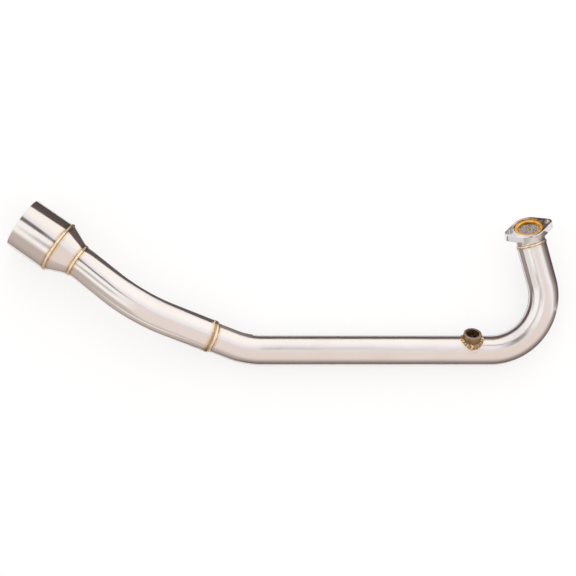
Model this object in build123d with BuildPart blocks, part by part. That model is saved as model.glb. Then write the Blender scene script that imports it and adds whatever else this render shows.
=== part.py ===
# Exhaust link pipe of a small motorbike: header tube, link tube and silencer socket.
# Millimetres, +Z up. The pipe lies on its side as it comes to rest: the straight run
# of the header tube and the lowest point of the socket's rim touch the ground.
# The origin is the centre of the engine flange's top face, and +X runs along the
# straight run, from the silencer end towards the engine end.
import os
from math import asin, atan2, cos, degrees, hypot, radians, sin, tan

from build123d import *

# Tube sizes
header_od = 28.6
header_wall = 1.5
link_wall = 1.5
slip_clearance = 0.1
socket_od = 50.8
socket_wall = 1.5

# Bends and runs of the header tube, measured between the corners of its centreline
riser_azimuth = 106.5
riser_elevation = 7.0
riser_length = 107.0
run_length = 303.9
engine_bend_radius = 51.5
step_bend_radius = 72.0
step_azimuth = 159.1
step_elevation = 10.0
step_length = 37.5
slip_depth = 14.0

# Bends and runs of the link tube
link_rise_length = 76.6
link_bend_radius = 170.0
link_azimuth = 141.2
link_elevation = -2.5
link_end_length = 63.4
socket_bend_radius = 50.0
socket_azimuth = 145.0
link_tail = 7.0

# Reducer cone and silencer socket
cone_length = 22.0
socket_length = 41.5
socket_chamfer = 0.4

# Engine end: elbow, flange plate and ring gasket
head_elevation = 38.0
elbow_radius = 16.0
elbow_lead = 1.6
elbow_stub = 1.3
plate_thickness = 7.5
plate_rim = 2.3
plate_chamfer = 0.5
elbow_seat_depth = 2.5
seat_clearance = 0.1
stud_hole_radius = 3.2
stud_web = 1.8
ear_radius = 5.0
gasket_inset = 0.5
gasket_width = 3.5
gasket_height = 4.2
gasket_chamfer = 0.8
gasket_clearance = 0.2

# Sensor bung
bung_distance = 87.7
bung_elevation = 39.0
bung_od = 17.5
bung_height = 6.0
bung_bore_radius = 5.4
bung_mouth_chamfer = 0.7
bung_rim_chamfer = 0.5
tube_hole_clearance = 0.6

# Weld beads
bead_half_width = 1.4
bead_height = 0.8
bead_crown_share = 0.4
bead_shoulder_share = 0.65
socket_bevel = 1.2
step_bead_leg = 3.4
flange_bead_leg = 1.1
flange_bead_width = 1.4
saddle_bead_width = 2.7
saddle_bead_height = 2.4
saddle_bead_chamfer = 1.7


def direction(azimuth, elevation):
    """Unit vector from an angle about +Z, counted from +X, and an angle above the ground."""
    level = cos(radians(elevation))
    across = level * cos(radians(azimuth))
    along = level * sin(radians(azimuth))
    return Vector(across, along, sin(radians(elevation)))


def ring_section(outer_radius, inner_radius):
    """Annulus on the current sketch plane."""
    Circle(outer_radius)
    Circle(inner_radius, mode=Mode.SUBTRACT)


def section_plane(origin, axis):
    """Plane through an axis of revolution: its X is the radius and its Y runs along the axis."""
    outwards = axis.cross(Vector(0, 0, 1)).normalized()
    return Plane(origin=origin, x_dir=outwards, z_dir=outwards.cross(axis))


def butt_bead(foot, crown):
    """Section of a bead over a joint: its foot is points (radius, height) on the metal."""
    low_shoulder = (crown, foot[0][1] * bead_crown_share)
    high_shoulder = (crown, foot[-1][1] * bead_crown_share)
    with BuildLine() as outline:
        Polyline(*foot, high_shoulder, low_shoulder, close=True)
    make_face(outline.edges())


def corner_bead(radius, width, leg):
    """Section of a bead in the corner of a tube and a face, slightly convex."""
    shoulder = (radius + width * bead_shoulder_share, leg * bead_shoulder_share)
    with BuildLine() as outline:
        Polyline((radius, leg), (radius, 0), (radius + width, 0), shoulder, close=True)
    make_face(outline.edges())


# Radii that follow from the tube sizes
header_radius = header_od / 2
header_bore = header_radius - header_wall
link_bore = header_radius + slip_clearance
link_radius = link_bore + link_wall
socket_radius = socket_od / 2
socket_bore = socket_radius - socket_wall
seat_radius = header_radius + seat_clearance
plate_radius = header_radius + plate_rim
gasket_radius = header_radius - gasket_inset
recess_radius = gasket_radius + gasket_clearance
stud_offset = recess_radius + stud_web + stud_hole_radius
bung_radius = bung_od / 2

# Corners of the centreline, from the flange face down to the silencer's rim
mouth = Vector(0, 0, 0)
head_axis = direction(riser_azimuth, head_elevation)
riser_axis = direction(riser_azimuth, riser_elevation)
elbow_turn = radians(head_elevation - riser_elevation)
elbow_tangent = elbow_radius * tan(elbow_turn / 2)
elbow_top = mouth - head_axis * (plate_thickness - elbow_seat_depth)
plate_underside = mouth - head_axis * plate_thickness
elbow_corner = plate_underside - head_axis * (elbow_stub + elbow_tangent)
head_joint = elbow_corner - riser_axis * (elbow_tangent + elbow_lead)
engine_corner = head_joint - riser_axis * riser_length
step_corner = engine_corner - Vector(run_length, 0, 0)
ground_height = step_corner.Z - header_radius

step_axis = direction(step_azimuth, step_elevation)
step_joint = step_corner + step_axis * step_length
header_end = step_joint + step_axis * slip_depth
link_corner = step_joint + step_axis * link_rise_length
link_axis = direction(link_azimuth, link_elevation)
tail_corner = link_corner + link_axis * link_end_length

# The socket falls until the lowest point of its rim touches the ground
tail_height = tail_corner.Z - ground_height
socket_reach = link_tail + cone_length + socket_length
rim_distance = hypot(socket_reach, socket_radius)
socket_fall = asin(tail_height / rim_distance) - atan2(socket_radius, socket_reach)
socket_axis = direction(socket_azimuth, -degrees(socket_fall))
cone_joint = tail_corner + socket_axis * link_tail
socket_joint = cone_joint + socket_axis * cone_length

# Planes at the joints, each with its normal along the pipe
head_plane = Plane(origin=mouth, x_dir=head_axis.cross(Vector(0, 0, 1)), z_dir=head_axis)
gasket_seat_plane = head_plane.offset(elbow_seat_depth - plate_thickness)
cone_plane = Plane(origin=cone_joint, z_dir=socket_axis)
socket_plane = Plane(origin=socket_joint, z_dir=socket_axis)

# The bung stands square on the straight run
run_axis = Vector(1, 0, 0)
bung_foot = engine_corner - run_axis * bung_distance
bung_axis = direction(90, bung_elevation)
bung_plane = Plane(origin=bung_foot, x_dir=run_axis, z_dir=bung_axis)
run_plane = Plane(origin=bung_foot, z_dir=run_axis)

os.makedirs("parts", exist_ok=True)

# Header tube: riser, engine bend, straight run and the bend up to the step joint
with BuildPart() as header_tube:
    with BuildLine() as header_path:
        FilletPolyline(
            head_joint,
            engine_corner,
            step_corner,
            header_end,
            radius=[engine_bend_radius, step_bend_radius],
        )
    with BuildSketch(Plane(origin=head_joint, z_dir=-riser_axis)):
        ring_section(header_radius, header_bore)
    sweep()
    with BuildSketch(bung_plane):
        Circle(bung_bore_radius + tube_hole_clearance)
    extrude(amount=header_od, mode=Mode.SUBTRACT)
header_tube.part.label = "header_tube"
export_step(header_tube.part, "parts/header_tube.step")

# Link tube: slips over the header tube's end and bends towards the silencer
with BuildPart() as link_tube:
    with BuildLine() as link_path:
        FilletPolyline(
            step_joint,
            link_corner,
            tail_corner,
            cone_joint,
            radius=[link_bend_radius, socket_bend_radius],
        )
    with BuildSketch(Plane(origin=step_joint, z_dir=step_axis)):
        ring_section(link_radius, link_bore)
    sweep()
link_tube.part.label = "link_tube"
export_step(link_tube.part, "parts/link_tube.step")

# Reducer cone: rolled sheet between the link tube and the socket
with BuildPart() as reducer_cone:
    with BuildSketch(cone_plane):
        ring_section(link_radius, link_bore)
    with BuildSketch(socket_plane):
        ring_section(socket_radius, socket_bore)
    loft()
reducer_cone.part.label = "reducer_cone"
export_step(reducer_cone.part, "parts/reducer_cone.step")

# Silencer socket: plain open tube with a deburred rim, its other edge bevelled for the weld
with BuildPart() as silencer_socket:
    with BuildSketch(socket_plane):
        ring_section(socket_radius, socket_bore)
    extrude(amount=socket_length)
    socket_circles = silencer_socket.edges().filter_by(GeomType.CIRCLE)
    circles_along_socket = socket_circles.group_by(Axis(socket_joint, socket_axis))
    chamfer(circles_along_socket[-1].sort_by(SortBy.RADIUS)[-1], length=socket_chamfer)
    chamfer(circles_along_socket[0].sort_by(SortBy.RADIUS)[-1], length=socket_bevel)
silencer_socket.part.label = "silencer_socket"
export_step(silencer_socket.part, "parts/silencer_socket.step")

# Head elbow: tight bend that turns the mouth out to the engine's port
with BuildPart() as head_elbow:
    with BuildLine() as elbow_path:
        FilletPolyline(elbow_top, elbow_corner, head_joint, radius=[elbow_radius])
    with BuildSketch(Plane(origin=elbow_top, z_dir=-head_axis)):
        ring_section(header_radius, header_bore)
    sweep()
head_elbow.part.label = "head_elbow"
export_step(head_elbow.part, "parts/head_elbow.step")

# Flange plate: two ears on a round body, seated over the elbow's end, with the gasket's recess
with BuildPart() as flange_plate:
    with BuildSketch(head_plane):
        Circle(plate_radius)
        with Locations((-stud_offset, 0), (stud_offset, 0)):
            Circle(ear_radius)
        make_hull()
    extrude(amount=-plate_thickness)
    plate_faces = flange_plate.faces().filter_by(GeomType.PLANE)
    chamfer(plate_faces.group_by(SortBy.AREA)[-1].edges(), length=plate_chamfer)
    with BuildSketch(head_plane):
        with Locations((-stud_offset, 0), (stud_offset, 0)):
            Circle(stud_hole_radius)
    extrude(amount=-plate_thickness, mode=Mode.SUBTRACT)
    with BuildSketch(head_plane):
        Circle(recess_radius)
    extrude(amount=elbow_seat_depth - plate_thickness, mode=Mode.SUBTRACT)
    with BuildSketch(gasket_seat_plane):
        Circle(seat_radius)
    extrude(amount=-elbow_seat_depth, mode=Mode.SUBTRACT)
flange_plate.part.label = "flange_plate"
export_step(flange_plate.part, "parts/flange_plate.step")

# Ring gasket: rests on the elbow's end, inside the plate's recess
with BuildPart() as ring_gasket:
    with BuildSketch(gasket_seat_plane):
        ring_section(gasket_radius, gasket_radius - gasket_width)
    extrude(amount=gasket_height)
    chamfer(ring_gasket.edges().filter_by(GeomType.CIRCLE), length=gasket_chamfer)
ring_gasket.part.label = "ring_gasket"
export_step(ring_gasket.part, "parts/ring_gasket.step")

# Sensor bung: turned boss, its foot cut to the tube it stands on
with BuildPart() as sensor_bung:
    with BuildSketch(bung_plane):
        Circle(bung_radius)
    extrude(amount=header_radius + bung_height)
    chamfer(sensor_bung.edges().group_by(Axis(bung_foot, bung_axis))[-1], length=bung_rim_chamfer)
    with BuildSketch(bung_plane):
        Circle(bung_bore_radius)
    extrude(amount=header_radius + bung_height, mode=Mode.SUBTRACT)
    bung_circles = sensor_bung.edges().filter_by(GeomType.CIRCLE)
    mouth_circles = bung_circles.group_by(Axis(bung_foot, bung_axis))[-1]
    chamfer(mouth_circles.sort_by(SortBy.RADIUS)[0], length=bung_mouth_chamfer)
    with BuildSketch(run_plane):
        Circle(header_radius)
    extrude(amount=header_od, both=True, mode=Mode.SUBTRACT)
sensor_bung.part.label = "sensor_bung"
export_step(sensor_bung.part, "parts/sensor_bung.step")

# Saddle bead around the bung's foot
with BuildPart() as bung_weld:
    with BuildSketch(run_plane):
        Circle(header_radius + saddle_bead_height)
    extrude(amount=header_od, both=True)
    with BuildSketch(bung_plane):
        Circle(bung_radius + saddle_bead_width)
    extrude(amount=header_od, mode=Mode.INTERSECT)
    chamfer(bung_weld.edges().filter_by(GeomType.BSPLINE), length=saddle_bead_chamfer)
    with BuildSketch(bung_plane):
        Circle(bung_radius)
    extrude(amount=header_od, mode=Mode.SUBTRACT)
    with BuildSketch(run_plane):
        Circle(header_radius)
    extrude(amount=header_od, both=True, mode=Mode.SUBTRACT)
bung_weld.part.label = "bung_weld"
export_step(bung_weld.part, "parts/bung_weld.step")

# Bead between the riser and the elbow
with BuildPart() as head_weld:
    with BuildSketch(section_plane(head_joint, riser_axis)):
        butt_bead(
            [(header_radius, -bead_half_width), (header_radius, bead_half_width)],
            header_radius + bead_height,
        )
    revolve(axis=Axis(head_joint, riser_axis))
head_weld.part.label = "head_weld"
export_step(head_weld.part, "parts/head_weld.step")

# Bead in the corner between the elbow and the plate's underside
with BuildPart() as flange_weld:
    with BuildSketch(section_plane(plate_underside, -head_axis)):
        corner_bead(header_radius, flange_bead_width, flange_bead_leg)
    revolve(axis=Axis(plate_underside, head_axis))
flange_weld.part.label = "flange_weld"
export_step(flange_weld.part, "parts/flange_weld.step")

# Bead in the corner between the link tube's end and the header tube
with BuildPart() as step_weld:
    with BuildSketch(section_plane(step_joint, -step_axis)):
        corner_bead(header_radius, link_radius - header_radius, step_bead_leg)
    revolve(axis=Axis(step_joint, step_axis))
step_weld.part.label = "step_weld"
export_step(step_weld.part, "parts/step_weld.step")

# Bead between the link tube and the cone
cone_slope = (socket_radius - link_radius) / cone_length
with BuildPart() as cone_weld:
    with BuildSketch(section_plane(cone_joint, socket_axis)):
        butt_bead(
            [
                (link_radius, -bead_half_width),
                (link_radius, 0),
                (link_radius + bead_half_width * cone_slope, bead_half_width),
            ],
            link_radius + bead_height,
        )
    revolve(axis=Axis(cone_joint, socket_axis))
cone_weld.part.label = "cone_weld"
export_step(cone_weld.part, "parts/cone_weld.step")

# Bead between the cone and the socket, its root in the socket's bevel
with BuildPart() as socket_weld:
    with BuildSketch(section_plane(socket_joint, socket_axis)):
        butt_bead(
            [
                (socket_radius - bead_half_width * cone_slope, -bead_half_width),
                (socket_radius, 0),
                (socket_radius - socket_bevel, 0),
                (socket_radius, socket_bevel),
                (socket_radius, bead_half_width),
            ],
            socket_radius + bead_height,
        )
    revolve(axis=Axis(socket_joint, socket_axis))
socket_weld.part.label = "socket_weld"
export_step(socket_weld.part, "parts/socket_weld.step")
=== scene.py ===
import math
import random

import bmesh
import bpy
from mathutils import Matrix, Quaternion, Vector


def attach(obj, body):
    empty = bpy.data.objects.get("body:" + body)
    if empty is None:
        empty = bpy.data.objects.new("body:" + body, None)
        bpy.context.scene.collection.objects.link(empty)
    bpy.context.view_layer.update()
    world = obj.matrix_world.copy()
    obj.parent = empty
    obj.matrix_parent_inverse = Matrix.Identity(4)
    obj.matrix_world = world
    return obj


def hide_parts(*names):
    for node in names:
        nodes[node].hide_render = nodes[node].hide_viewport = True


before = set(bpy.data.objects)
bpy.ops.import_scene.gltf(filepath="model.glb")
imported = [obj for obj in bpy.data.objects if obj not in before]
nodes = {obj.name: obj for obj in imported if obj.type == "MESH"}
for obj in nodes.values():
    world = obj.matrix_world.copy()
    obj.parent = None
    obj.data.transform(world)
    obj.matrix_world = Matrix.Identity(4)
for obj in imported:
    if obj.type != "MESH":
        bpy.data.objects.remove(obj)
bpy.context.scene.view_settings.view_transform = "Standard"
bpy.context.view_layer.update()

# Sizes in metres, the same as in the CAD
HEADER_R, HEADER_BORE = 0.0143, 0.0128
LINK_R, LINK_BORE = 0.0159, 0.0144
SOCKET_R, SOCKET_BORE = 0.0254, 0.0239
BUNG_R, BUNG_BORE = 0.00875, 0.0054
SLIP_DEPTH = 0.014
CONE_LENGTH = 0.022
SOCKET_LENGTH = 0.0415
PLATE_THICKNESS = 0.0075
ELBOW_SEAT = 0.0025
GASKET_R, GASKET_BORE, GASKET_HEIGHT = 0.0138, 0.0103, 0.0042
ELBOW_RADIUS = 0.016
HEADER_BENDS = [0.0515, 0.072]
LINK_BENDS = [0.17, 0.05]

# Stretches between the corners and joints of the centreline, from the engine flange to the cone
PLATE_TO_BEND, BEND_TO_HEADER = 0.0013, 0.0016
RISER_LENGTH = 0.107
RUN_LENGTH = 0.3039
CORNER_TO_STEP = 0.0375
STEP_TO_LINK_CORNER = 0.0766
LINK_END_LENGTH = 0.0634
LINK_TAIL = 0.007
CORNER_TO_BUNG = 0.0877

# Angles above the ground, in degrees, of the flange's axis and of the riser
HEAD_RISE, RISER_RISE = 38, 7


def direction(azimuth, elevation):
    """Unit vector from an angle about +Z, counted from +X, and an angle above the ground."""
    a, e = math.radians(azimuth), math.radians(elevation)
    return Vector((math.cos(e) * math.cos(a), math.cos(e) * math.sin(a), math.sin(e)))


# Centreline corners, from the engine flange to the silencer's rim
HEAD_AXIS = direction(106.5, HEAD_RISE)
RISER_AXIS = direction(106.5, RISER_RISE)
elbow_tangent = ELBOW_RADIUS * math.tan(math.radians(HEAD_RISE - RISER_RISE) / 2)
underside = -HEAD_AXIS * PLATE_THICKNESS
elbow_top = -HEAD_AXIS * (PLATE_THICKNESS - ELBOW_SEAT)
elbow_corner = underside - HEAD_AXIS * (PLATE_TO_BEND + elbow_tangent)
head_joint = elbow_corner - RISER_AXIS * (elbow_tangent + BEND_TO_HEADER)
engine_corner = head_joint - RISER_AXIS * RISER_LENGTH
step_corner = engine_corner - Vector((RUN_LENGTH, 0, 0))
GROUND = step_corner.z - HEADER_R
STEP_AXIS = direction(159.1, 10)
step_joint = step_corner + STEP_AXIS * CORNER_TO_STEP
header_end = step_joint + STEP_AXIS * SLIP_DEPTH
link_corner = step_joint + STEP_AXIS * STEP_TO_LINK_CORNER
tail_corner = link_corner + direction(141.2, -2.5) * LINK_END_LENGTH
reach = LINK_TAIL + CONE_LENGTH + SOCKET_LENGTH
fall = math.asin((tail_corner.z - GROUND) / math.hypot(reach, SOCKET_R)) - math.atan2(SOCKET_R, reach)
SOCKET_AXIS = direction(145, -math.degrees(fall))
cone_joint = tail_corner + SOCKET_AXIS * LINK_TAIL
socket_joint = cone_joint + SOCKET_AXIS * CONE_LENGTH
RUN_AXIS = Vector((1, 0, 0))
bung_foot = engine_corner - RUN_AXIS * CORNER_TO_BUNG
BUNG_AXIS = direction(90, 39)
header_path = [head_joint, engine_corner, step_corner, header_end]
link_path = [step_joint, link_corner, tail_corner, cone_joint]


# Meshes: every turned or swept piece is a grid of rings with its own lengthwise and around coordinates

def grid_piece(name, rings, lengthwise, around, sharp=40, crests=None):
    """Mesh object from rings of points, the last joined to the first. UV is (length along the piece,
    way around it) in metres. crests, a value for each point, become the attribute "crest", which the
    materials read: the height of the ripples on a weld, and on a tube 0 outside and 1 inside."""
    columns, count = len(rings[0]), len(rings)
    verts = [p for ring in rings for p in ring]
    faces, uvs = [], []
    for i in range(count):
        k = (i + 1) % count
        for j in range(columns):
            l = (j + 1) % columns
            faces.append((i * columns + j, i * columns + l, k * columns + l, k * columns + j))
            v0, v1 = around * j / columns, around * (j + 1) / columns
            uvs += [lengthwise[i], v0, lengthwise[i], v1, lengthwise[k], v1, lengthwise[k], v0]
    mesh = bpy.data.meshes.new(name)
    mesh.from_pydata(verts, [], faces)
    mesh.uv_layers.new(name="UVMap").data.foreach_set("uv", uvs)
    if crests:
        values = [c for row in crests for c in row]
        mesh.attributes.new("crest", "FLOAT", "POINT").data.foreach_set("value", values)
    shape = bmesh.new()
    shape.from_mesh(mesh)
    bmesh.ops.recalc_face_normals(shape, faces=shape.faces)
    shape.to_mesh(mesh)
    shape.free()
    mesh.polygons.foreach_set("use_smooth", [True] * len(mesh.polygons))
    mesh.set_sharp_from_angle(angle=math.radians(sharp))
    piece = bpy.data.objects.new(name, mesh)
    bpy.context.scene.collection.objects.link(piece)
    return piece


def finish_piece(piece, material, slot, *stands_for):
    """Material, body, record slot (not used) and the CAD nodes that the piece stands for."""
    piece.data.materials.clear()
    piece.data.materials.append(material)
    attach(piece, "root")
    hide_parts(*stands_for)


def bent_path(corners, radii, turn=math.radians(1.5), stride=0.006):
    """Points, tangents and lengths along straight runs joined by tangent arcs."""
    points, tangents = [corners[0]], [(corners[1] - corners[0]).normalized()]

    def run_to(end):
        start = points[-1]
        steps = max(1, math.ceil((end - start).length / stride))
        for k in range(1, steps + 1):
            points.append(start.lerp(end, k / steps))
            tangents.append((end - start).normalized())

    for before, corner, after, radius in zip(corners, corners[1:], corners[2:], radii):
        a, b = (corner - before).normalized(), (after - corner).normalized()
        angle = a.angle(b)
        start = corner - a * radius * math.tan(angle / 2)
        centre = start + (b - a * a.dot(b)).normalized() * radius
        axis = a.cross(b).normalized()
        run_to(start)
        steps = max(2, math.ceil(angle / turn))
        for i in range(1, steps + 1):
            spin = Quaternion(axis, angle * i / steps)
            points.append(centre + spin @ (start - centre))
            tangents.append(spin @ a)
    run_to(corners[-1])
    lengths = [0.0]
    for p, q in zip(points, points[1:]):
        lengths.append(lengths[-1] + (q - p).length)
    return points, tangents, lengths


def swept_tube(name, corners, radii, outer, inner, columns=112):
    """Hollow tube along a bent path; returns the object and the path's length."""
    points, tangents, lengths = bent_path(corners, radii)
    side = tangents[0].cross(Vector((0, 0, 1))).normalized()
    sides = [side]
    for a, b in zip(tangents, tangents[1:]):
        side = a.rotation_difference(b) @ side
        sides.append(side)

    def ring(i, radius):
        up = tangents[i].cross(sides[i])
        angles = [2 * math.pi * j / columns for j in range(columns)]
        return [points[i] + (sides[i] * math.cos(t) + up * math.sin(t)) * radius for t in angles]

    indices = range(len(points))
    rings = [ring(i, outer) for i in indices] + [ring(i, inner) for i in reversed(indices)]
    lengthwise = lengths + lengths[::-1]
    inside = [[side_of] * columns for side_of in (0.0, 1.0) for _ in indices]
    return grid_piece(name, rings, lengthwise, 2 * math.pi * outer, crests=inside), lengths[-1]


def lathe(name, origin, axis, profile, columns=144):
    """Turned piece from a closed line of (radius, height) points; the lengthwise coordinate is the
    height."""
    side = axis.cross(Vector((0, 0, 1))).normalized()
    up = axis.cross(side)
    angles = [2 * math.pi * j / columns for j in range(columns)]
    rings = [
        [origin + axis * h + (side * math.cos(t) + up * math.sin(t)) * r for t in angles]
        for r, h in profile
    ]
    widest = max(r for r, _ in profile)
    return grid_piece(name, rings, [h for _, h in profile], 2 * math.pi * widest)


def rounded(profile, radius, steps=4):
    """Closed (radius, height) profile with each corner replaced by a small arc."""
    out = []
    count = len(profile)
    for i in range(count):
        before, here, after = (Vector(profile[(i + k) % count]) for k in (-1, 0, 1))
        a, b = (before - here).normalized(), (after - here).normalized()
        reach = min(radius, (before - here).length / 2.2, (after - here).length / 2.2)
        start, end = here + a * reach, here + b * reach
        for k in range(steps + 1):
            t = k / steps
            out.append(tuple(start * (1 - t) ** 2 + here * 2 * t * (1 - t) + end * t * t))
    return out


def wobble(seed, count, spread):
    """Smooth closed random curve, as a function of the share of a turn."""
    source = random.Random(seed)
    waves = [
        (k, source.uniform(-1, 1), source.uniform(0, 2 * math.pi))
        for k in range(1, count + 1)
    ]
    scale = spread / math.sqrt(count)
    return lambda share: scale * sum(a * math.sin(2 * math.pi * k * share + p) for k, a, p in waves)


def ripple(phase, softness=0.18):
    """Height of overlapping weld scales along the bead: a steep front and a long slope."""
    t = phase % 1.0
    return t / softness if t < softness else 1 - (t - softness) / (1 - softness) * 0.95


# How far the closing rows of a bead go under the surface it lies on
BEAD_UNDERCUT = 0.0003


def weld_ring(name, origin, axis, surface, crown, scales, seed, columns_per_scale=14, across=15):
    """Rippled bead around an axis. surface(t) gives the (radius, height) under the bead for t from
    -1 to 1 across it, and crown(t) how far the bead stands off there."""
    side = axis.cross(Vector((0, 0, 1))).normalized()
    up = axis.cross(side)
    columns = scales * columns_per_scale
    edge = wobble(seed, 40, 0.09)
    drift = wobble(seed + 1, 14, 0.5)
    sizes = [random.Random(seed + 2 + i).uniform(0.8, 1.15) for i in range(scales + 1)]
    sizes[scales] = sizes[0]
    rings, crests = [], []
    for r in range(across):
        t = -1 + 2 * r / (across - 1)
        ring, row = [], []
        for j in range(columns):
            share = j / columns
            angle = 2 * math.pi * share
            phase = share * scales + 0.55 * t * t + drift(share) * 0.3
            width = 1 + edge(share)
            radius, height = surface(t * width)
            scale_height = ripple(phase) * sizes[int(phase) % scales]
            lift = crown(t) * (0.70 + 0.30 * scale_height)
            normal = side * math.cos(angle) + up * math.sin(angle)
            ring.append(origin + axis * height + normal * (radius + lift))
            row.append(scale_height)
        rings.append(ring)
        crests.append(row)

    def sunk(point):
        arm = point - origin
        return point - (arm - axis * arm.dot(axis)).normalized() * BEAD_UNDERCUT

    rings += [[sunk(p) for p in rings[k]] for k in (-1, 0)]
    crests += [crests[-1], crests[0]]
    lengthwise = [-1 + 2 * r / (across - 1) for r in range(across)] + [1.0, -1.0]
    around = 2 * math.pi * surface(0)[0]
    return grid_piece(name, rings, lengthwise, around, sharp=75, crests=crests)


# Nodes

def add(tree, kind, settings=None, **inputs):
    """New node; inputs are values or sockets, by input name with underscores for spaces, or by number
    as i0, i1 and so on."""
    node = tree.nodes.new(kind)
    for key, value in (settings or {}).items():
        setattr(node, key, value)
    for key, value in inputs.items():
        by_number = key[0] == "i" and key[1:].isdigit()
        socket = node.inputs[int(key[1:]) if by_number else key.replace("_", " ")]
        if isinstance(value, bpy.types.NodeSocket):
            tree.links.new(value, socket)
        else:
            socket.default_value = value
    return node


def maths(tree, operation, a, b=0.0):
    return add(tree, "ShaderNodeMath", {"operation": operation}, i0=a, i1=b).outputs[0]


def vector_maths(tree, operation, a, b=(0, 0, 0), result="Value"):
    return add(tree, "ShaderNodeVectorMath", {"operation": operation}, i0=a, i1=b).outputs[result]


def attribute(tree, name):
    return add(tree, "ShaderNodeAttribute", {"attribute_name": name}).outputs["Fac"]


def remap(tree, value, low, high, to_low=0.0, to_high=1.0):
    """Smooth step of a value from low to high, from to_low to to_high."""
    return add(
        tree, "ShaderNodeMapRange", {"interpolation_type": "SMOOTHSTEP"},
        Value=value, From_Min=low, From_Max=high, To_Min=to_low, To_Max=to_high,
    ).outputs[0]


def noise(tree, vector, scale, detail=3.0, roughness=0.55):
    return add(
        tree, "ShaderNodeTexNoise", None,
        Vector=vector, Scale=scale, Detail=detail, Roughness=roughness,
    ).outputs[0]


def stretched(tree, vector, scale):
    return add(tree, "ShaderNodeMapping", None, Vector=vector, Scale=scale).outputs[0]


def mix(tree, factor, a, b, blend="MIX"):
    node = tree.nodes.new("ShaderNodeMix")
    node.data_type = "RGBA"
    node.blend_type = blend
    for index, value in ((0, factor), (6, a), (7, b)):
        if isinstance(value, bpy.types.NodeSocket):
            tree.links.new(value, node.inputs[index])
        else:
            node.inputs[index].default_value = value
    return node.outputs[2]


def ramp(tree, factor, stops):
    node = tree.nodes.new("ShaderNodeValToRGB")
    node.color_ramp.interpolation = "EASE"
    while len(node.color_ramp.elements) < len(stops):
        node.color_ramp.elements.new(0.5)
    for element, (place, colour) in zip(node.color_ramp.elements, stops):
        element.position = place
        element.color = (*colour, 1)
    tree.links.new(factor, node.inputs[0])
    return node.outputs[0]


def metal(name, roughness, anisotropy=0.0):
    """New metal material, with its node tree and its principled shader."""
    material = bpy.data.materials.new(name)
    material.use_nodes = True
    tree = material.node_tree
    shader = tree.nodes["Principled BSDF"]
    shader.inputs["Metallic"].default_value = 1.0
    shader.inputs["Roughness"].default_value = roughness
    shader.inputs["Anisotropic"].default_value = anisotropy
    return material, tree, shader


def from_bung_axis(tree, arm):
    """Distance from the bung's axis, for an arm that starts at the bung's foot."""
    return vector_maths(tree, "LENGTH", vector_maths(tree, "CROSS_PRODUCT", arm, BUNG_AXIS, "Vector"))


# Usual reach of the heat tint beside a weld, and the middle of the saddle bead around the bung
TINT_REACH, SADDLE_R = 0.005, 0.0099

# Heat tint against the distance from the middle of a weld, as a share of the tint's reach
TINT = [
    (0.00, (0.50, 0.31, 0.13)),
    (0.27, (0.46, 0.28, 0.11)),
    (0.33, (0.74, 0.53, 0.27)),
    (0.41, (0.99, 0.93, 0.80)),
    (0.51, (0.84, 0.64, 0.37)),
    (0.60, (0.97, 0.90, 0.79)),
    (0.80, (1.0, 0.97, 0.92)),
    (1.00, (1.0, 1.0, 1.0)),
]


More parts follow.
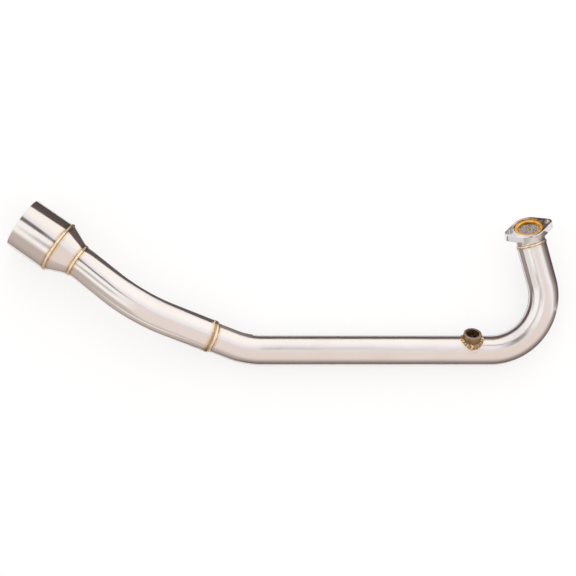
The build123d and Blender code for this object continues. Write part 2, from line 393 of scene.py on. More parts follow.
def tube_steel(name, joints, bung=False, smooth=0.17, painted_bright_bore=False):
    """Belt-polished stainless tube, rougher and scaly inside. A pale bore is painted white with dark
    flecks and is barely metal, standing in for the bright broken reflections inside the mouth.
    joints are the welds' places along the tube with the strength and the reach of their heat tint."""
    material, tree, shader = metal(name, smooth, 0.3)
    grain_line = add(tree, "ShaderNodeTangent", {"direction_type": "UV_MAP", "uv_map": "UVMap"})
    tree.links.new(grain_line.outputs[0], shader.inputs["Tangent"])
    uv = add(tree, "ShaderNodeUVMap", {"uv_map": "UVMap"}).outputs[0]
    along = add(tree, "ShaderNodeSeparateXYZ", None, Vector=uv).outputs[0]
    place = add(tree, "ShaderNodeTexCoord").outputs["Object"]

    patches = noise(tree, place, 38, 4)
    wander = maths(tree, "MULTIPLY", maths(tree, "SUBTRACT", noise(tree, place, 420, 2), 0.5), 0.0022)
    clouds = noise(tree, place, 12, 2)

    colour = mix(tree, remap(tree, clouds, 0.35, 0.68), (0.80, 0.755, 0.73, 1), (0.83, 0.80, 0.79, 1))
    streaks = noise(tree, stretched(tree, uv, (5200, 130, 1)), 1.0, 2)
    brushing = mix(tree, remap(tree, streaks, 0.3, 0.7), (0.72, 0.69, 0.67, 1), (0.88, 0.86, 0.84, 1))
    colour = mix(tree, 0.22, colour, brushing)

    for joint, strength, tint_reach in joints:
        gap = maths(tree, "ABSOLUTE", maths(tree, "SUBTRACT", along, joint))
        share = maths(tree, "DIVIDE", maths(tree, "ADD", gap, wander), tint_reach)
        colour = mix(tree, strength, colour, ramp(tree, share, TINT), "MULTIPLY")
    if bung:
        arm = vector_maths(tree, "SUBTRACT", place, bung_foot, "Vector")
        gap = maths(tree, "SUBTRACT", from_bung_axis(tree, arm), SADDLE_R)
        share = maths(tree, "DIVIDE", maths(tree, "ADD", gap, wander), TINT_REACH)
        height = vector_maths(tree, "DOT_PRODUCT", arm, BUNG_AXIS)
        tinted = mix(tree, 0.35, colour, ramp(tree, share, TINT), "MULTIPLY")
        colour = mix(tree, remap(tree, height, 0.0, 0.004), colour, tinted)
    bore = attribute(tree, "crest")
    scale = noise(tree, place, 240, 4, 0.6)
    soot = mix(tree, remap(tree, scale, 0.42, 0.6), (0.70, 0.64, 0.60, 1), (0.95, 0.93, 0.91, 1))
    # Painted reflection: a pale bore is white with dark flecks and barely metal, to stand for the
    # bright broken reflections inside the mouth.
    if painted_bright_bore:
        bore_flecks = noise(tree, place, 520, 2)
        soot = mix(tree, remap(tree, bore_flecks, 0.33, 0.46), (0.34, 0.31, 0.30, 1), (1.0, 0.99, 0.98, 1))
        tree.links.new(remap(tree, bore, 0.0, 1.0, 1.0, 0.12), shader.inputs["Metallic"])
    colour = mix(tree, bore, colour, soot)
    tree.links.new(colour, shader.inputs["Base Color"])

    smudges = remap(tree, patches, 0.3, 0.75, smooth - 0.025, smooth + 0.07)
    smudges = maths(tree, "ADD", smudges, maths(tree, "MULTIPLY", bore, 0.55))
    tree.links.new(smudges, shader.inputs["Roughness"])

    grain = noise(tree, stretched(tree, uv, (9000, 260, 1)), 1.0, 3)
    scratches = noise(tree, stretched(tree, uv, (900, 3400, 1)), 1.0, 2)
    scratches = maths(tree, "MULTIPLY", remap(tree, scratches, 0.62, 0.75), 0.35)
    grooves = maths(tree, "ADD", grain, scratches)
    fine = add(tree, "ShaderNodeBump", None, Strength=0.16, Distance=0.00006, Height=grooves).outputs[0]
    waves = noise(tree, place, 26, 1)
    both = add(
        tree, "ShaderNodeBump", None, Strength=0.22, Distance=0.0016, Height=waves, Normal=fine,
    ).outputs[0]
    tree.links.new(both, shader.inputs["Normal"])
    return material


def weld_metal(
    name, dark, valley_shade_tone, valley_shade_share,
    core=(0.98, 0.94, 0.84), flank=(0.97, 0.88, 0.70), toe_from=0.82,
):
    """Rippled bead metal: bright straw crests, valleys between the ripples painted darker as shade,
    brown toes, and spots of oxide, as strong as dark says. Across the bead it goes from core over flank
    to a toe that is brown from toe_from."""
    material, tree, shader = metal(name, 0.24)
    uv = add(tree, "ShaderNodeUVMap", {"uv_map": "UVMap"}).outputs[0]
    across = add(tree, "ShaderNodeSeparateXYZ", None, Vector=uv).outputs[0]
    crest = attribute(tree, "crest")
    place = add(tree, "ShaderNodeTexCoord").outputs["Object"]
    toe = maths(tree, "ABSOLUTE", across)
    rough = maths(tree, "MULTIPLY", maths(tree, "SUBTRACT", noise(tree, place, 700, 3), 0.5), 0.3)
    colour = ramp(tree, maths(tree, "ADD", toe, rough), [
        (0.0, core),
        (toe_from - 0.24, flank),
        (toe_from, (0.74, 0.50, 0.25)),
        (1.0, (0.36, 0.20, 0.08)),
    ])
    # Painted shade: where the ripples are low, the colour is mixed towards the given dark tone.
    painted_valley_shade = remap(tree, crest, 0.15, 0.7, 1.0, 0.0)
    colour = mix(tree, maths(tree, "MULTIPLY", painted_valley_shade, valley_shade_share), colour, valley_shade_tone)
    spots = remap(tree, noise(tree, place, 330, 4, 0.65), 0.59, 0.68)
    colour = mix(tree, maths(tree, "MULTIPLY", spots, dark), colour, (0.13, 0.07, 0.035, 1))
    tree.links.new(colour, shader.inputs["Base Color"])
    tree.links.new(remap(tree, spots, 0, 1, 0.18, 0.5), shader.inputs["Roughness"])
    skin = noise(tree, place, 2600, 3)
    bump = add(tree, "ShaderNodeBump", None, Strength=0.35, Distance=0.00008, Height=skin).outputs[0]
    tree.links.new(bump, shader.inputs["Normal"])
    return material


def bung_metal():
    """Turned steel boss, browned by the heat of welding; its bore is painted near black as shade."""
    material, tree, shader = metal("bung_brown", 0.34)
    place = add(tree, "ShaderNodeTexCoord").outputs["Object"]
    height = vector_maths(tree, "DOT_PRODUCT", place, BUNG_AXIS)
    foot_height = bung_foot.dot(BUNG_AXIS)
    turned = noise(tree, add(tree, "ShaderNodeCombineXYZ", None, Z=height).outputs[0], 5200, 2)
    heat = remap(tree, height, foot_height + 0.0135, foot_height + 0.0203)
    stains = noise(tree, place, 260, 4, 0.6)
    colour = mix(tree, heat, (0.26, 0.15, 0.075, 1), (0.36, 0.25, 0.17, 1))
    colour = mix(tree, remap(tree, stains, 0.4, 0.7), colour, (0.20, 0.12, 0.07, 1))
    crown = remap(tree, height, foot_height + 0.0194, foot_height + 0.0202)
    colour = mix(tree, crown, colour, (0.40, 0.29, 0.20, 1))
    # Painted shade: the thread and the inner edge of the face around it are darkened to near black.
    arm = vector_maths(tree, "SUBTRACT", place, bung_foot, "Vector")
    painted_hole_shade = remap(tree, from_bung_axis(tree, arm), 0.0067, 0.0061)
    colour = mix(tree, painted_hole_shade, colour, (0.07, 0.035, 0.018, 1))
    tree.links.new(colour, shader.inputs["Base Color"])
    tree.links.new(remap(tree, stains, 0.3, 0.7, 0.26, 0.46), shader.inputs["Roughness"])
    bump = add(tree, "ShaderNodeBump", None, Strength=0.3, Distance=0.00008, Height=turned).outputs[0]
    tree.links.new(bump, shader.inputs["Normal"])
    return material


def gasket_gold():
    """Soft gold-coloured ring, faintly creased."""
    material, tree, shader = metal("gasket_gold", 0.34)
    place = add(tree, "ShaderNodeTexCoord").outputs["Object"]
    patches = noise(tree, place, 210, 3)
    colour = mix(tree, remap(tree, patches, 0.35, 0.7), (0.80, 0.36, 0.045, 1), (0.95, 0.60, 0.17, 1))
    tree.links.new(colour, shader.inputs["Base Color"])
    tree.links.new(remap(tree, patches, 0.3, 0.7, 0.42, 0.28), shader.inputs["Roughness"])
    creases = noise(tree, place, 900, 3)
    bump = add(tree, "ShaderNodeBump", None, Strength=0.35, Distance=0.00015, Height=creases).outputs[0]
    tree.links.new(bump, shader.inputs["Normal"])
    return material


def flange_polish():
    """Polished plate with fine straight grinding marks and worn patches."""
    material, tree, shader = metal("flange_polish", 0.12)
    place = add(tree, "ShaderNodeTexCoord").outputs["Object"]
    marks = noise(tree, stretched(tree, place, (300, 2600, 2600)), 1.0, 2)
    wear = noise(tree, place, 180, 3)
    colour = mix(tree, remap(tree, wear, 0.35, 0.7), (0.66, 0.65, 0.67, 1), (0.84, 0.83, 0.83, 1))
    tree.links.new(colour, shader.inputs["Base Color"])
    tree.links.new(remap(tree, wear, 0.3, 0.75, 0.08, 0.2), shader.inputs["Roughness"])
    bump = add(tree, "ShaderNodeBump", None, Strength=0.12, Distance=0.00006, Height=marks).outputs[0]
    tree.links.new(bump, shader.inputs["Normal"])
    return material


# Header tube, with the hole under the bung's bore

header, header_length = swept_tube(
    "header_tube_polished", header_path, HEADER_BENDS, HEADER_R, HEADER_BORE,
)
DRILL_R, DRILL_LENGTH = 0.006, 0.012
drill = lathe(
    "drill", bung_foot + BUNG_AXIS * 0.006, BUNG_AXIS,
    [(DRILL_R, 0), (DRILL_R, DRILL_LENGTH), (0.0001, DRILL_LENGTH), (0.0001, 0)], 64,
)
cut = header.modifiers.new("cut", "BOOLEAN")
cut.operation = "DIFFERENCE"
cut.solver = "EXACT"
cut.object = drill
bpy.context.view_layer.update()
drilled = header.evaluated_get(bpy.context.evaluated_depsgraph_get())
header_mesh = bpy.data.meshes.new_from_object(drilled)
header.modifiers.clear()
header.data = header_mesh
bpy.data.objects.remove(drill)
step_place = header_length - SLIP_DEPTH
header_steel = tube_steel(
    "header_steel", [(0.0, 0.5, TINT_REACH), (step_place - 0.0019, 1.0, TINT_REACH)],
    bung=True, smooth=0.2, painted_bright_bore=True,
)
finish_piece(header, header_steel, "brushed_tube", "header_tube")

# Link tube, from the step joint to the cone

link, link_length = swept_tube("link_tube_polished", link_path, LINK_BENDS, LINK_R, LINK_BORE)
link_steel = tube_steel(
    "link_steel", [(0.0004, 0.85, 0.0062), (link_length, 1.0, TINT_REACH)], smooth=0.16,
)
finish_piece(link, link_steel, "brushed_tube", "link_tube")

# Head elbow, seated in the flange

elbow, elbow_length = swept_tube(
    "head_elbow_polished", [elbow_top, elbow_corner, head_joint], [ELBOW_RADIUS],
    HEADER_R, HEADER_BORE,
)
elbow_steel = tube_steel(
    "elbow_steel", [(elbow_length, 0.5, TINT_REACH)], smooth=0.16, painted_bright_bore=True,
)
finish_piece(elbow, elbow_steel, "brushed_tube", "head_elbow")

# Cone and socket

cone = lathe(
    "reducer_cone_polished", cone_joint, SOCKET_AXIS,
    [(LINK_BORE, 0), (LINK_R, 0)]
    + [(LINK_R + (SOCKET_R - LINK_R) * k / 8, CONE_LENGTH * k / 8) for k in range(1, 9)]
    + [(SOCKET_BORE, CONE_LENGTH)],
    160,
)
cone_steel = tube_steel(
    "cone_steel", [(0.0, 1.0, TINT_REACH), (CONE_LENGTH, 1.0, TINT_REACH)], smooth=0.15,
)
finish_piece(cone, cone_steel, "brushed_tube", "reducer_cone")

RIM_CHAMFER = 0.0004
rim = [(SOCKET_R - RIM_CHAMFER, SOCKET_LENGTH), (SOCKET_R, SOCKET_LENGTH - RIM_CHAMFER)]
socket = lathe(
    "silencer_socket_polished", socket_joint, SOCKET_AXIS,
    rounded([(SOCKET_BORE, 0), (SOCKET_BORE, SOCKET_LENGTH), rim[0], rim[1], (SOCKET_R, 0)], 0.0003),
    192,
)
socket_steel = tube_steel("socket_steel", [(0.0, 1.0, TINT_REACH)], smooth=0.13)
finish_piece(socket, socket_steel, "brushed_tube", "silencer_socket")

# Ring gasket: rounded ring on the elbow's end, in the plate's recess

gasket_corners = [
    (GASKET_BORE, 0), (GASKET_R, 0), (GASKET_R, GASKET_HEIGHT), (GASKET_BORE, GASKET_HEIGHT),
]
gasket = lathe("ring_gasket_gold", elbow_top, HEAD_AXIS, rounded(gasket_corners, 0.0013, 6))
finish_piece(gasket, gasket_gold(), "gasket_metal", "ring_gasket")

# Sensor bung: turned boss whose foot follows the tube, with a thread cut in its bore

def tube_height(sideways, radius=HEADER_R):
    """Height above the run's axis, along the bung, of a cylinder around the run."""
    return math.sqrt(radius * radius - sideways * sideways)


BUNG_TOP = HEADER_R + 0.006
THREAD_PITCH, THREAD_DEPTH = 0.00125, 0.00062
bung_side = BUNG_AXIS.cross(RUN_AXIS)
bung_columns = 120


def bung_point(radius, angle, height):
    """Point at a radius and an angle around the bung, counted from the run's axis."""
    return (
        bung_foot + BUNG_AXIS * height
        + RUN_AXIS * radius * math.cos(angle) + bung_side * (radius * math.sin(angle))
    )


def bung_ring(radius_at, height_at):
    ring = []
    for j in range(bung_columns):
        angle = 2 * math.pi * j / bung_columns
        radius = radius_at(angle)
        ring.append(bung_point(radius, angle, height_at(radius * math.sin(angle))))
    return ring


# The bung's wall, its rounded edge and its face, as far as the mouth of the thread
bung_outline = [
    (BUNG_R, BUNG_TOP - 0.0006), (BUNG_R - 0.0001, BUNG_TOP - 0.00025),
    (BUNG_R - 0.0003, BUNG_TOP - 0.00005), (BUNG_R - 0.0006, BUNG_TOP),
    (BUNG_BORE + 0.0008, BUNG_TOP), (BUNG_BORE + 0.0006, BUNG_TOP - 0.0001),
]
bung_rings = [bung_ring(lambda a: BUNG_R, tube_height)]
bung_places = [0.0]
for radius, height in bung_outline:
    bung_rings.append(bung_ring(lambda a, r=radius: r, lambda s, h=height: h))
    bung_places.append(height)
thread_top, thread_rows, rows_per_turn = BUNG_TOP - 0.0007, 44, 9
for row in range(thread_rows + 1):
    height = thread_top - row * THREAD_PITCH / rows_per_turn

    def thread_radius(angle, h=height):
        turn = ((h / THREAD_PITCH) - angle / (2 * math.pi)) % 1.0
        groove = max(0.0, 1 - abs(turn - 0.5) / 0.38)
        return BUNG_BORE + THREAD_DEPTH * groove

    bung_rings.append(bung_ring(thread_radius, lambda s, h=height: h))
    bung_places.append(height)
bung_rings.append(bung_ring(lambda a: BUNG_BORE, tube_height))
bung_places.append(0.0)
bung = grid_piece("sensor_bung_turned", bung_rings, bung_places, 2 * math.pi * BUNG_R, sharp=35)
finish_piece(bung, bung_metal(), "bung_steel", "sensor_bung")

# Weld beads; each lies a hair deep in the metal under it

BUTT_HALF, BUTT_CROWN, BUTT_SINK = 0.0014, 0.00082, 0.00004
CORNER_SINK = 0.00005


def butt_surface(low, high):
    """Surface under a butt bead: radius low(height) before the joint and high(height) after it."""
    return lambda t: ((low(t * BUTT_HALF) if t < 0 else high(t * BUTT_HALF)), t * BUTT_HALF)


def dome(height, t):
    return height * math.sqrt(max(0.0, 1 - t * t)) ** 1.1


cone_slope = (SOCKET_R - LINK_R) / CONE_LENGTH
head_weld = weld_ring(
    "head_weld_rippled", head_joint, RISER_AXIS,
    butt_surface(lambda h: HEADER_R - BUTT_SINK, lambda h: HEADER_R - BUTT_SINK),
    lambda t: dome(BUTT_CROWN, t), 46, 11,
)
cone_weld = weld_ring(
    "cone_weld_rippled", cone_joint, SOCKET_AXIS,
    butt_surface(lambda h: LINK_R - BUTT_SINK, lambda h: LINK_R - BUTT_SINK + h * cone_slope),
    lambda t: dome(BUTT_CROWN, t), 58, 23,
)
socket_weld = weld_ring(
    "socket_weld_rippled", socket_joint, SOCKET_AXIS,
    butt_surface(lambda h: SOCKET_R - BUTT_SINK + h * cone_slope, lambda h: SOCKET_R - BUTT_SINK),
    lambda t: dome(BUTT_CROWN, t), 92, 37,
)


def corner_surface(radius, width, leg):
    """Line under a corner bead, from the face's edge (t = -1) to its toe on the tube (t = 1)."""
    return lambda t: (radius + width * (1 - t) / 2, leg * (1 + t) / 2)


step_weld = weld_ring(
    "step_weld_rippled", step_joint, -STEP_AXIS,
    corner_surface(HEADER_R - CORNER_SINK, LINK_R - HEADER_R, 0.0034),
    lambda t: dome(0.00055, t), 44, 51,
)
flange_weld = weld_ring(
    "flange_weld_rippled", underside, -HEAD_AXIS,
    corner_surface(HEADER_R - CORNER_SINK, 0.0014, 0.0011),
    lambda t: dome(0.0003, t), 44, 61,
)


SADDLE_WIDTH, SADDLE_CROWN = 0.00275, 0.0026
SADDLE_INNER_R = BUNG_R - 0.0001


def saddle_weld(name, scales=23, columns_per_scale=26, across=17, seed=71):
    """Bead around the bung's foot, lying on the tube."""
    columns = scales * columns_per_scale
    edge = wobble(seed, 30, 0.17)
    drift = wobble(seed + 5, 9, 0.9)
    sizes = [random.Random(seed + i).uniform(0.35, 1.0) for i in range(scales)]
    rings, crests = [], []
    for r in range(across):
        t = r / (across - 1)
        ring, row = [], []
        for j in range(columns):
            share = j / columns
            angle = 2 * math.pi * share
            phase = share * scales + 0.5 * (2 * t - 1) ** 2 + drift(share)
            size = ripple(phase, 0.25) * sizes[int(phase) % scales]
            reach = BUNG_R + SADDLE_WIDTH * t * (0.90 + 0.16 * size + edge(share))
            lift = SADDLE_CROWN * math.sqrt(max(0.0, 1 - t * t)) * (0.35 + 0.65 * size)
            height = tube_height(reach * math.sin(angle), HEADER_R - CORNER_SINK + lift)
            ring.append(bung_point(reach, angle, height))
            row.append(size)
        rings.append(ring)
        crests.append(row)
    inner = []
    for j in range(columns):
        angle = 2 * math.pi * j / columns
        height = tube_height(SADDLE_INNER_R * math.sin(angle), HEADER_R - 0.0002)
        inner.append(bung_point(SADDLE_INNER_R, angle, height))
    rings.append(inner)
    crests.append(crests[0])
    lengthwise = [0.1 + 0.75 * r / (across - 1) for r in range(across)] + [0.1]
    return grid_piece(name, rings, lengthwise, 2 * math.pi * BUNG_R, sharp=75, crests=crests)


bung_weld = saddle_weld("bung_weld_rippled")
# The dark tone and the share after the spots' strength paint the shade in the ripples' valleys.
bead_metal = weld_metal("weld_bright", 0.3, (0.60, 0.40, 0.18, 1), 0.5)
spotted_metal = weld_metal("weld_spotted", 0.8, (0.42, 0.25, 0.10, 1), 0.6)
step_metal = weld_metal(
    "weld_step", 0.55, (0.55, 0.38, 0.18, 1), 0.5, (0.97, 0.95, 0.90), (0.96, 0.88, 0.70), 0.93,
)
saddle_metal = weld_metal(
    "weld_saddle", 0.5, (0.20, 0.105, 0.038, 1), 0.9, (1.0, 0.93, 0.77), (0.98, 0.74, 0.42), 0.92,
)
finish_piece(head_weld, spotted_metal, "weld_bead", "head_weld")
finish_piece(cone_weld, bead_metal, "weld_bead", "cone_weld")
finish_piece(socket_weld, bead_metal, "weld_bead", "socket_weld")
finish_piece(step_weld, step_metal, "weld_bead", "step_weld")
finish_piece(flange_weld, bead_metal, "weld_bead", "flange_weld")
finish_piece(bung_weld, saddle_metal, "weld_bead", "bung_weld")

# The flange plate keeps its CAD mesh

plate = nodes["flange_plate"]
plate.data.materials.clear()
plate.data.materials.append(flange_polish())

# Camera: over the lying pipe, a few degrees off the vertical, with the photo's focal length in pixels

SENSOR, FOCAL_PIXELS, PHOTO_PIXELS = 36, 1878.9, 576
LOOKS_EAST, LOOKS_NORTH = 4.5, 3
CAMERA_ROLL, CAMERA_DISTANCE = -0.00142, 1.8

camera_data = bpy.data.cameras.new("camera")
camera_data.sensor_width = SENSOR
camera_data.lens = SENSOR * FOCAL_PIXELS / PHOTO_PIXELS
camera_data.clip_end = 50
camera = bpy.data.objects.new("camera", camera_data)
bpy.context.scene.collection.objects.link(camera)
forward = Vector((math.sin(math.radians(LOOKS_EAST)), math.sin(math.radians(LOOKS_NORTH)), 0))
forward.z = -math.sqrt(1 - forward.length_squared)
aim = Vector((-0.22924, -0.05801, -0.02193))
upright = (Vector((0, 1, 0)) - forward * forward.y).normalized()
right = forward.cross(upright)
cosine, sine = math.cos(CAMERA_ROLL), math.sin(CAMERA_ROLL)
rolled = (right * cosine + upright * sine, upright * cosine - right * sine, -forward)
stand = Matrix.Translation(aim - forward * CAMERA_DISTANCE)
camera.matrix_world = stand @ Matrix(rolled).transposed().to_4x4()
bpy.context.scene.camera = camera

# Floor: grey paper that takes the shadows. A glow, which lights nothing, lifts it to near white for the
# camera and in reflections

FLOOR_HALF, FLOOR_GLOW = 6, 0.73

floor_mesh = bpy.data.meshes.new("floor")
floor_corners = [
    (x * FLOOR_HALF, y * FLOOR_HALF, GROUND) for x, y in ((-1, -1), (1, -1), (1, 1), (-1, 1))
]
floor_mesh.from_pydata(floor_corners, [], [(0, 1, 2, 3)])
floor = bpy.data.objects.new("floor", floor_mesh)
bpy.context.scene.collection.objects.link(floor)
paper = bpy.data.materials.new("paper")
paper.use_nodes = True
tree = paper.node_tree
tree.nodes.remove(tree.nodes["Principled BSDF"])
path = add(tree, "ShaderNodeLightPath").outputs
mirrored = maths(tree, "MAXIMUM", path["Is Glossy Ray"], path["Is Transmission Ray"])
seen = maths(tree, "MAXIMUM", path["Is Camera Ray"], mirrored)
sheet = add(tree, "ShaderNodeBsdfDiffuse", None, Color=(0.28, 0.28, 0.28, 1)).outputs[0]
strength = maths(tree, "MULTIPLY", seen, FLOOR_GLOW)
glow = add(tree, "ShaderNodeEmission", None, Color=(1, 1, 1, 1), Strength=strength).outputs[0]
both = add(tree, "ShaderNodeAddShader", None, i0=sheet, i1=glow).outputs[0]
tree.links.new(both, tree.nodes["Material Output"].inputs[0])
floor_mesh.materials.append(paper)

# Studio cards standing beside the pipe, seen only in its reflections. They are glowing sheets whose set
# tones paint the dark and pale bands reflected in the metal


def card_glow():
    """Glow of a card, not lit by the lamps: from near black at tone 0 to pale at 1."""
    material = bpy.data.materials.new("card_glow")
    material.use_nodes = True
    tree = material.node_tree
    tree.nodes.remove(tree.nodes["Principled BSDF"])
    colour = ramp(tree, attribute(tree, "tone"), [
        (0.0, (0.075, 0.058, 0.05)),
        (0.3, (0.15, 0.118, 0.116)),
        (0.6, (0.34, 0.285, 0.26)),
        (0.8, (0.62, 0.53, 0.485)),
        (1.0, (0.95, 0.92, 0.90)),
    ])
    glow = add(tree, "ShaderNodeEmission", None, Color=colour, Strength=1.0).outputs[0]
    tree.links.new(glow, tree.nodes["Material Output"].inputs[0])
    return material


card_glow_material = card_glow()
CARD_FOOT, STRIP_HEIGHT, STRIP_TONE = 0.0005, 0.0003, 0.05
BEND_MIDDLE = Vector((-0.034, -0.0661))


def sheet_piece(name, low, high, low_tones, high_tones):
    """Strip between two rows of points, with a tone for each, seen only in reflections."""
    count = len(low)
    mesh = bpy.data.meshes.new(name)
    mesh.from_pydata(low + high, [], [(i, i + 1, count + i + 1, count + i) for i in range(count - 1)])
    mesh.attributes.new("tone", "FLOAT", "POINT").data.foreach_set("value", low_tones + high_tones)
    mesh.materials.append(card_glow_material)
    piece = bpy.data.objects.new(name, mesh)
    bpy.context.scene.collection.objects.link(piece)
    piece.visible_camera = False
    piece.visible_diffuse = False
    piece.visible_shadow = False
    piece.visible_transmission = False


def card(name, corners, tops, foot_tones, top_tones):
    """Upright card on the floor along a line of (x, y) corners, each with its own top and tones."""
    low = [(x, y, GROUND + CARD_FOOT) for x, y in corners]
    high = [(x, y, GROUND + top) for (x, y), top in zip(corners, tops)]
    sheet_piece(name, low, high, foot_tones, top_tones)


def shadow_strip(name, corners, radii, half_width):
    """Dark strip on the floor under a stretch of tube: the tube's contact shadow, for reflections."""
    points, tangents, _ = bent_path(corners, radii)
    sides = [Vector((-t.y, t.x)).normalized() * half_width for t in tangents]
    low = [(p.x - q.x, p.y - q.y, GROUND + STRIP_HEIGHT) for p, q in zip(points, sides)]
    high = [(p.x + q.x, p.y + q.y, GROUND + STRIP_HEIGHT) for p, q in zip(points, sides)]
    sheet_piece(name, low, high, [STRIP_TONE] * len(low), [STRIP_TONE] * len(high))


def beside(start, end, sideways):
    """Both ends of a line in plan, moved to its left by a distance."""
    line = (end - start).to_2d().normalized()
    left = Vector((-line.y, line.x)) * sideways
    return [tuple(start.to_2d() + left), tuple(end.to_2d() + left)]


def round_bend(radius, start, end, steps=14):
    """Points in plan on a circle about the middle of the engine bend, from one angle to another."""
    turns = [math.radians(start + (end - start) * k / steps) for k in range(steps + 1)]
    return [
        (BEND_MIDDLE.x + radius * math.cos(t), BEND_MIDDLE.y + radius * math.sin(t)) for t in turns
    ]


rim_centre = socket_joint + SOCKET_AXIS * SOCKET_LENGTH
rim_beyond = rim_centre + SOCKET_AXIS * 0.02
behind_step = beside(step_joint, step_corner, 0.0205)
behind_run = round_bend(0.0199, -90, 12)
inside_riser = [(-0.0225, -0.041), (-0.031, -0.02)]
card("card_run", behind_step + [(-0.262, -0.0862)] + behind_run + inside_riser,
     [0.029, 0.022, 0.0222] + [0.0222] * 13 + [0.024, 0.026, 0.029, 0.032],
     [0.45, 0.35, 0.2] + [0.2] * 11 + [0.3, 0.4, 0.5, 0.58, 0.6, 0.6],
     [0.55, 0.45, 0.3] + [0.3] * 11 + [0.36, 0.46, 0.56, 0.64, 0.68, 0.68])
behind_link = [beside(step_joint, link_corner, -0.030)[0], beside(step_joint, link_corner, -0.032)[1]]
behind_cone = beside(cone_joint, socket_joint, -0.036)
card("card_link", behind_link + behind_cone, [0.030, 0.034, 0.044, 0.050], [0.2] * 4, [0.3] * 4)
card("card_socket", beside(socket_joint, rim_beyond, -0.050), [0.050, 0.050], [0.1, 0.1], [0.2, 0.2])
beside_riser = beside(head_joint + RISER_AXIS * 0.004, engine_corner + RISER_AXIS * 0.030, 0.020)
halfway = tuple((a + b) / 2 for a, b in zip(*beside_riser))
card("card_riser", [beside_riser[0], halfway, beside_riser[1]],
     [0.050, 0.045, 0.036], [-0.9, -0.7, 0.8], [0.85, 0.9, 1.0])
before_socket = beside(socket_joint, rim_beyond, 0.052)
before_link = beside(step_joint, link_corner, 0.034)
before_bend = round_bend(0.0815, -90, 60)
card("card_front", before_socket[::-1] + before_link[::-1] + [(-0.27, -0.148)] + before_bend,
     [0.046, 0.046, 0.038, 0.032, 0.0245] + [0.0245 + 0.014 * k / 14 for k in range(15)],
     [0.62, 0.62, 0.5, 0.4, 0.1] + [0.1] * 15, [0.8, 0.8, 0.86, 0.86, 0.8] + [0.8] * 15)
card("card_head", [(-0.06, 0.085), (-0.012, 0.10), (0.004, 0.092), (0.04, 0.11)],
     [0.02, 0.004, 0.03, 0.03], [0.0] * 4, [0.3] * 4)
shadow_strip("shadow_header", header_path, HEADER_BENDS, 0.019)
shadow_strip("shadow_link", link_path, LINK_BENDS, 0.020)
shadow_strip("shadow_socket", [socket_joint, rim_centre], [], 0.030)

# A short dark slat hangs over the start of the bend: its reflection is the fine line that goes from
# the bung round the bend
slat_height = GROUND + 0.08
slat_near = [(-0.0375, -0.0785, slat_height), (-0.015, -0.0770, slat_height)]
slat_far = [(-0.0375, -0.0705, slat_height), (-0.015, -0.0690, slat_height)]
sheet_piece("slat", slat_near, slat_far, [0.1, 0.1], [0.1, 0.1])

# World: two banks of light. The far one goes from pale lavender beside the gap to bright cream, the
# near one from cream to a duller beige. Between them lies a dark gap, and over the riser a dark patch

# Direction in plan along the gap, and the tone of the gap and of the patch
GAP_EAST, GAP_NORTH = 0.838, -0.545
GAP_TONE = (0.15, 0.115, 0.12, 1)

world = bpy.data.worlds.new("studio")
bpy.context.scene.world = world
world.use_nodes = True
tree = world.node_tree
facing = add(tree, "ShaderNodeTexCoord").outputs["Generated"]
east, north, upward = add(tree, "ShaderNodeSeparateXYZ", None, Vector=facing).outputs


def blend(a, b, share_a, share_b):
    return maths(tree, "ADD", maths(tree, "MULTIPLY", a, share_a), maths(tree, "MULTIPLY", b, share_b))


def past(value, start, slope):
    """Zero up to start, and from there on rising by slope."""
    beyond_start = maths(tree, "MAXIMUM", maths(tree, "SUBTRACT", value, start), 0.0)
    return maths(tree, "MULTIPLY", beyond_start, slope)


# The gap's middle line bends, and the gap widens, along its length
beyond = blend(east, north, -GAP_NORTH, GAP_EAST)
along_gap = blend(east, north, GAP_EAST, GAP_NORTH)
middle = maths(tree, "ADD", 0.092, past(along_gap, 0.04, 0.2))
middle = maths(tree, "ADD", middle, remap(tree, along_gap, -0.05, -0.2, 0.0, 0.1))
side = maths(tree, "SUBTRACT", beyond, middle)
widening = past(0.08, along_gap, 0.3)
half_gap = maths(tree, "MINIMUM", maths(tree, "ADD", 0.035, widening), 0.16)
gap = remap(tree, maths(tree, "DIVIDE", maths(tree, "ABSOLUTE", side), half_gap), 0.75, 1.15, 1.0, 0.0)
depth = remap(tree, along_gap, -0.05, 0.03, 1.0, 0.36)
depth = maths(tree, "SUBTRACT", depth, remap(tree, along_gap, 0.08, 0.15, 0.0, 0.22))
depth = maths(tree, "MULTIPLY", depth, remap(tree, upward, 0.3, 0.6))
gap = maths(tree, "MULTIPLY", gap, depth)
gap = maths(tree, "MULTIPLY", gap, remap(tree, along_gap, -0.52, -0.40))

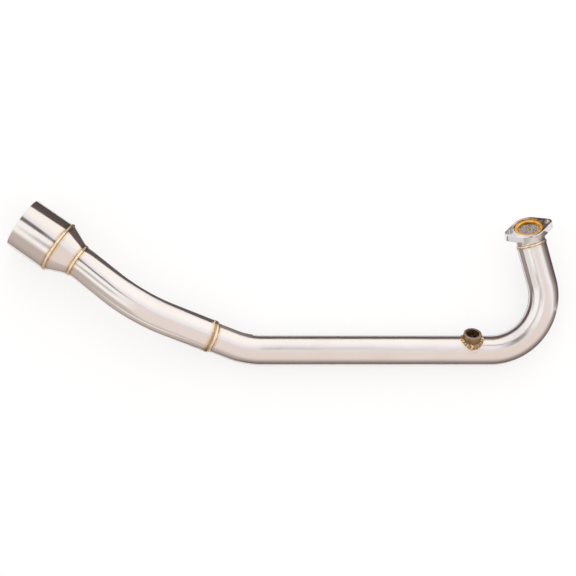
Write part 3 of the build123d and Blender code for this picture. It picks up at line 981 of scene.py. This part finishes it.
far = mix(tree, remap(tree, side, 0.25, 0.6), (1.04, 1.02, 1.06, 1), (1.20, 1.15, 1.11, 1))
low_light = maths(tree, "SUBTRACT", upward, remap(tree, along_gap, 0.18, 0.02, 0.0, 0.4))
warm = mix(tree, remap(tree, low_light, 0.02, 0.35), (0.62, 0.54, 0.49, 1), (0.93, 0.83, 0.78, 1))
low_side = maths(tree, "MULTIPLY", remap(tree, upward, 0.70, 0.50), remap(tree, north, -0.3, -0.55))
warmth = maths(tree, "MAXIMUM", remap(tree, along_gap, -0.05, 0.13), low_side)
near = mix(tree, warmth, (1.15, 1.13, 1.11, 1), warm)
studio = mix(tree, remap(tree, side, -0.12, 0.04), near, far)
studio = mix(tree, gap, studio, GAP_TONE)
left_of_top = maths(tree, "ABSOLUTE", maths(tree, "ADD", east, 0.34))
front_of_top = maths(tree, "ABSOLUTE", maths(tree, "ADD", north, 0.27))
over_riser = remap(tree, left_of_top, 0.08, 0.24, 0.6, 0.0)
over_riser = maths(tree, "MULTIPLY", over_riser, remap(tree, front_of_top, 0.06, 0.14, 1.0, 0.0))
over_riser = maths(tree, "MULTIPLY", over_riser, remap(tree, along_gap, -0.03, -0.12))
studio = mix(tree, over_riser, studio, GAP_TONE)
background = add(tree, "ShaderNodeBackground", None, Color=studio, Strength=1.0).outputs[0]
tree.links.new(background, tree.nodes["World Output"].inputs[0])


def softbox(name, place, target, width, height, power, colour):
    """Rectangular studio lamp."""
    data = bpy.data.lights.new(name, "AREA")
    data.shape = "RECTANGLE"
    data.size, data.size_y = width, height
    data.energy = power
    data.color = colour
    lamp = bpy.data.objects.new(name, data)
    lamp.location = place
    lamp.rotation_mode = "QUATERNION"
    lamp.rotation_quaternion = (Vector(target) - Vector(place)).to_track_quat("-Z", "Y")
    bpy.context.scene.collection.objects.link(lamp)
    lamp.visible_camera = False
    lamp.visible_glossy = False


# The lamp over the far side gives the floor its shadow; the world already stands for it in reflections
key_place = HEAD_AXIS * 1.3 + Vector((0.1, 0, 0))
softbox("key", key_place, (-0.1, -0.05, 0), 0.9, 0.8, 2.6, (1.0, 0.985, 0.96))
